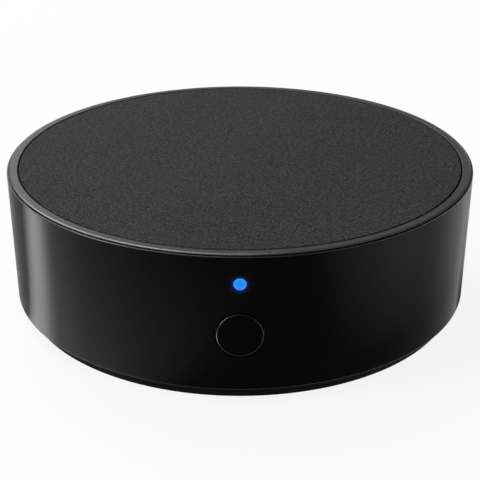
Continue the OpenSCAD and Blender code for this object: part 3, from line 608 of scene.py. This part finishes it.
def make_finishes():
    """The materials by the record's slot."""
    return {
        "rim_plastic": rim_skin_with_painted_shade(),
        "inset_skin": disc_skin_with_painted_pit_shade(),
        "adhesive": plastic("adhesive", (0.45, 0.43, 0.36), 0.7, level=0.3, grain=0.8, depth=0.01),
        "gloss_shell": gloss_wall("gloss_shell", FACE_LEVEL),
        "base_plastic": plastic("base_plastic", (0.002, 0.002, 0.0021), 0.5, level=0.06, grain=0.3, depth=0.008),
        "pad_rubber": plastic("pad_rubber", (0.014, 0.014, 0.015), 0.75, level=0.3, grain=0.5, depth=0.03),
        "screw_steel": metal("screw_steel", (0.42, 0.42, 0.43), 0.32),
        "light_plastic": glowing("light_plastic", (0.0, 0.02, 0.08), (0.0048, 0.238, 0.965), (0.05, 0.27, 0.87),
                                 LIGHT_R),
        "shield_silicone": plastic("shield_silicone", (0.02, 0.02, 0.021), 0.6, level=0.3),
        "port_plastic": plastic("port_plastic", (0.008, 0.008, 0.0085), 0.45, level=0.4, grain=0.3, depth=0.006),
        "board_laminate": board("board_laminate", (0.008, 0.09, 0.03), (0.02, 0.16, 0.06)),
        "pin_gold": metal("pin_gold", (0.72, 0.49, 0.18), 0.25),
        "switch_plastic": plastic("switch_plastic", (0.02, 0.02, 0.021), 0.5),
        "sheet_steel": metal("sheet_steel", (0.55, 0.55, 0.56), 0.3),
        "plunger_plastic": plastic("plunger_plastic", (0.62, 0.62, 0.6), 0.45),
        "status_chip": glowing("status_chip", (0.5, 0.5, 0.45), (0.05, 0.3, 1.0), (0.05, 0.3, 1.0), 2, strength=2.0),
        "receiver_plastic": plastic("receiver_plastic", (0.008, 0.007, 0.009), 0.2),
        "lens_epoxy": plastic("lens_epoxy", (0.045, 0.06, 0.13), 0.12, grain=0.6, depth=0),
        "tinned_lead": metal("tinned_lead", (0.55, 0.54, 0.52), 0.38),
        "resistor_ceramic": plastic("resistor_ceramic", (0.03, 0.03, 0.033), 0.4),
        "radio_laminate": board("radio_laminate", (0.01, 0.03, 0.14), (0.02, 0.06, 0.22)),
        "socket_steel": metal("socket_steel", (0.55, 0.55, 0.56), 0.24),
        "capacitor_can": metal("capacitor_can", (0.6, 0.6, 0.6), 0.35),
        "coil_ferrite": plastic("coil_ferrite", (0.05, 0.05, 0.055), 0.6),
        "chip_plastic": plastic("chip_plastic", (0.012, 0.012, 0.013), 0.5),
    }


def dress_nodes(finishes):
    """Gives each CAD node that shows the material of its slot in the record."""
    for node in NODES.values():
        slots = [m.name.split(".")[0] for m in node.data.materials if m]
        for place, name in enumerate(slots):
            if name in finishes:
                node.material_slots[place].material = finishes[name]
            else:
                print("no finish for", node.name, name)


# Lights, floor and camera

# Lamps: name, place, size in metres, radiance. All of them point at AIM
AIM = (0, 0, 0.03)
LAMPS = (
    ("key_back_left", (-0.45, 0.75, 0.89), (0.5, 0.7), 6.0),
    ("low_back_left", (-0.34, 1.12, 0.45), (0.3, 0.3), 1.0),
    ("side_left", (-0.95, -0.28, 0.48), (0.45, 0.7), 7.2),
    ("side_right", (1.05, 0.2, 0.3), (0.4, 0.5), 1.3),
    ("rim_light", (-0.14, 0.52, 1.03), (0.4, 0.3), 4.0),
    ("top_soft", (-0.5, -0.05, 1.25), (0.9, 0.9), 1.2),
)
WORLD_LEVEL = 0.2
# Floor lamps, which the wall mirrors: side (-1 left, 1 right), stops of (angle round the fan's centre, radiance), and
# shares of that radiance at two distances from the object's middle, as (millimetres, share)
FANS = {
    "fan_left": (-1, ((-40, 0), (104, 0), (107, 1.0), (109, 2.6), (113, 6.2), (116, 7.9), (120, 6.6), (124, 3.3),
                      (127, 0.3), (128, 0), (140, 0)),
                 ((52, 0.95), (110, 3.1))),
    "fan_front_left": (-1, ((-40, 0), (-20, 0.05), (-5, 0.1), (16, 0.55), (32, 0.85), (44, 1.3), (60, 1.8),
                            (77, 2.1), (91, 2.6), (100, 2.7), (106, 2.4), (112, 1.5), (118, 0.5), (124, 0), (140, 0)),
                       ((52, 1.3), (110, 2.05))),
    "fan_near_left": (-1, ((-40, 0), (-30, 0.25), (-20, 0.9), (-8, 2.1), (11, 2.9), (35, 3.2), (60, 3.0), (89, 1.6),
                           (109, 0.6), (118, 0), (140, 0)),
                      ((52, 1.25), (105, 0))),
    "fan_right": (1, ((-40, 0), (16, 0), (28, 0.1), (38, 1.3), (48, 2.2), (60, 2.7), (77, 3.1), (88, 2.5), (102, 1.3),
                      (112, 1.0), (124, 1.0), (132, 0.6), (140, 0.3)),
                  ((58, 0), (110, 2.4))),
}
FAN_CENTRE, FAN_PEAK, FAN_START, FAN_END = (20, -38), 10.0, -40, 140
# Place and size of the floor lamps' rectangle, height of the lowest one, and rise from each to the next, in metres.
# Lamps at one height would hide one another
FAN_PLACE, FAN_SIZE, FAN_LOW, FAN_RISE = (0.056, -0.038), (0.112, 0.16), 0.0004, 0.0001
# Their light leaves them within this angle, so that lower viewpoints hardly see them in the wall. They start this far
# outside the wall, in millimetres
FAN_SPREAD, FAN_CLEAR = 144, 0.5

# Share of its plain white that the floor shows to the camera and in reflections, whatever light falls on it
PAPER_SHARE = 0.88
# The floor's height, the radius where it starts to curve up, and how far it rises, in millimetres
FLOOR_Z, FLOOR_R, FLOOR_RISE = -0.05, 2400, 700

# Flags: name, side, outline and grey. They lie just above the floor
FLAGS = (
    ("flag_left", -1, ((48.6, -19.5), (98, 26.5), (98, 90), (46, 90)), 0.5),
    ("flag_right", 1, ((49.2, -13), (86, 50), (86, 90), (46, 90)), 0.75),
)
FLAG_Z = 0.1

# The photograph's viewpoint: place in metres, degrees that it looks down, lens in millimetres
CAMERA_PLACE, CAMERA_DOWN, CAMERA_LENS = (0, -0.24886, 0.12699), 24.9, 91.76


def area_lamp(name, place, target, size, radiance):
    """Soft rectangular lamp of a given radiance, aimed at a point."""
    lamp = bpy.data.lights.new(name, "AREA")
    lamp.shape = "RECTANGLE"
    lamp.size, lamp.size_y = size
    lamp.energy = radiance * math.pi * size[0] * size[1]
    holder = bpy.data.objects.new(name, lamp)
    holder.location = place
    holder.rotation_euler = (Vector(target) - Vector(place)).to_track_quat("-Z", "Y").to_euler()
    holder.visible_camera = False
    bpy.context.scene.collection.objects.link(holder)
    return holder


def ramp_of(tree, value, stops, peak):
    """Eased curve through (place from 0 to 1, number) stops, as numbers from 0 to peak."""
    ramp = tree.nodes.new("ShaderNodeValToRGB")
    ramp.color_ramp.interpolation = "EASE"
    marks = ramp.color_ramp.elements
    while len(marks) < len(stops):
        marks.new(0.5)
    for mark, (place, _) in zip(marks, stops):
        mark.position = place
    for mark, (_, number) in zip(marks, stops):
        mark.color = (*[number / peak] * 3, 1)
    tree.links.new(value, ramp.inputs["Fac"])
    return calculate(tree, "MULTIPLY", ramp.outputs["Color"], peak)


def fan_lamp(name, height, side, stops, shares):
    """Low lamp on the floor beside the wall, which faces up and is graded round the centre of its fan."""
    across, along = side * FAN_PLACE[0], FAN_PLACE[1]
    lamp = area_lamp(name, (across, along, height), (across, along, 1), FAN_SIZE, 1.0).data
    lamp.spread = math.radians(FAN_SPREAD)
    lamp.use_nodes = True
    tree = lamp.node_tree
    glow = next(n for n in tree.nodes if n.type == "EMISSION")
    here = tree.nodes.new("ShaderNodeNewGeometry").outputs["Position"]
    out, forward, _ = parts_of(tree, move_and_scale(
        tree, here, (side, -1, 1), (-FAN_CENTRE[0] * MM, FAN_CENTRE[1] * MM, 0)))
    angle = calculate(tree, "ARCTAN2", out, forward)
    places = [((place - FAN_START) / (FAN_END - FAN_START), radiance) for place, radiance in stops]
    turn = spread(tree, angle, 0, 1, math.radians(FAN_START), math.radians(FAN_END))
    peak = ramp_of(tree, turn, places, FAN_PEAK)
    reach = length_of(tree, here)
    outside = calculate(tree, "GREATER_THAN", reach, (BODY_R + FAN_CLEAR) * MM)
    (near, near_share), (far, far_share) = shares
    graded = spread(tree, reach, near_share, far_share, near * MM, far * MM)
    share = calculate(tree, "MULTIPLY", outside, graded)
    tree.links.new(calculate(tree, "MULTIPLY", peak, share), glow.inputs["Strength"])


def make_lights():
    for name, place, size, radiance in LAMPS:
        area_lamp(name, place, AIM, size, radiance)
    for i, (name, fan) in enumerate(FANS.items()):
        fan_lamp(name, FAN_LOW + FAN_RISE * i, *fan)
    world = bpy.data.worlds.new("studio")
    bpy.context.scene.world = world
    world.use_nodes = True
    sky = world.node_tree.nodes["Background"]
    sky.inputs["Color"].default_value = (1, 1, 1, 1)
    sky.inputs["Strength"].default_value = WORLD_LEVEL


def add_mesh(name, mesh_name, bm):
    """Puts a mesh that is in metres into the scene."""
    mesh = bpy.data.meshes.new(mesh_name)
    bm.to_mesh(mesh)
    bm.free()
    made = bpy.data.objects.new(name, mesh)
    bpy.context.scene.collection.objects.link(made)
    return made


def floor_paper():
    """Pale paper. Seen directly or in a reflection it is nearly its own white, and keeps part of the shadow."""
    mat, tree, shader, coords = new_material("floor_paper")
    tree.links.new(blend_colours(tree, noise(tree, coords, 400), (0.88, 0.88, 0.88), (0.9, 0.9, 0.9)),
                   shader.inputs["Base Color"])
    shader.inputs["Roughness"].default_value = 0.9
    shader.inputs["Specular IOR Level"].default_value = 0.1
    path = tree.nodes.new("ShaderNodeLightPath")
    seen = path.outputs["Is Camera Ray"]
    for kind in ("Is Glossy Ray", "Is Transmission Ray"):
        seen = calculate(tree, "MAXIMUM", seen, path.outputs[kind])
    white = tree.nodes.new("ShaderNodeEmission")
    white.inputs["Strength"].default_value = 1
    mix = tree.nodes.new("ShaderNodeMixShader")
    tree.links.new(calculate(tree, "MULTIPLY", seen, PAPER_SHARE), mix.inputs["Fac"])
    tree.links.new(shader.outputs["BSDF"], mix.inputs[1])
    tree.links.new(white.outputs["Emission"], mix.inputs[2])
    surface = next(n for n in tree.nodes if n.type == "OUTPUT_MATERIAL").inputs["Surface"]
    tree.links.new(mix.outputs["Shader"], surface)
    return mat


def make_floor():
    """Round sheet of pale paper just under the pad, which curves up far away and closes the horizon."""
    flat = [(r, FLOOR_Z) for r in (0, 100, 600)]
    curve = arc(FLOOR_R, FLOOR_RISE + FLOOR_Z, FLOOR_RISE, -90, 0, 16)
    bm = lathe(flat + curve, FLOOR_SEGMENTS)
    bmesh.ops.recalc_face_normals(bm, faces=bm.faces)
    bmesh.ops.reverse_faces(bm, faces=bm.faces)
    bmesh.ops.scale(bm, vec=(MM, MM, MM), verts=bm.verts)
    floor = add_mesh("floor", "floor", bm)
    floor.data.shade_smooth()
    dress(floor, floor_paper())


def make_flags():
    """Grey cards on the floor at both sides, which the camera doesn't see. They calm the wall's outer reflections."""
    for name, side, outline, grey in FLAGS:
        bm = bmesh.new()
        corners = [bm.verts.new((side * x * MM, y * MM, FLAG_Z * MM)) for x, y in outline]
        bm.faces.new(corners if side > 0 else corners[::-1])
        flag = add_mesh(name, "flag", bm)
        dress(flag, plastic("flag_card", (grey,) * 3, 0.9, level=0.1, grain=30, depth=0))
        flag.visible_camera = flag.visible_diffuse = flag.visible_shadow = False


def make_camera():
    camera = bpy.data.cameras.new("camera")
    camera.sensor_width = 36
    camera.lens = CAMERA_LENS
    camera.clip_start = 0.01
    holder = bpy.data.objects.new("camera", camera)
    holder.location = CAMERA_PLACE
    holder.rotation_euler = (math.radians(90 - CAMERA_DOWN), 0, 0)
    bpy.context.scene.collection.objects.link(holder)
    bpy.context.scene.camera = holder


bpy.context.scene.view_settings.view_transform = "Standard"
make_camera()
make_lights()
make_floor()
make_flags()
finishes = make_finishes()
dress_nodes(finishes)
paint_wall(make_wall(), finishes["gloss_shell"], gloss_wall("shell_crown", CROWN_LEVEL),
           gloss_wall("shell_foot", FOOT_LEVEL))
dress(make_inset(), finishes["inset_skin"])
dress(make_pad(), finishes["pad_rubber"])
dress(make_lens(), finishes["light_plastic"])
dress(make_contacts(), finishes["pin_gold"])
paint_cap(make_cap(), plastic("cap_face", (0.0004, 0.0004, 0.0004), 0.5, level=0.02, grain=0.3, depth=0.002),
          plastic("cap_edge", (0.001, 0.001, 0.001), 0.18, level=0.4, grain=0.3, depth=0))
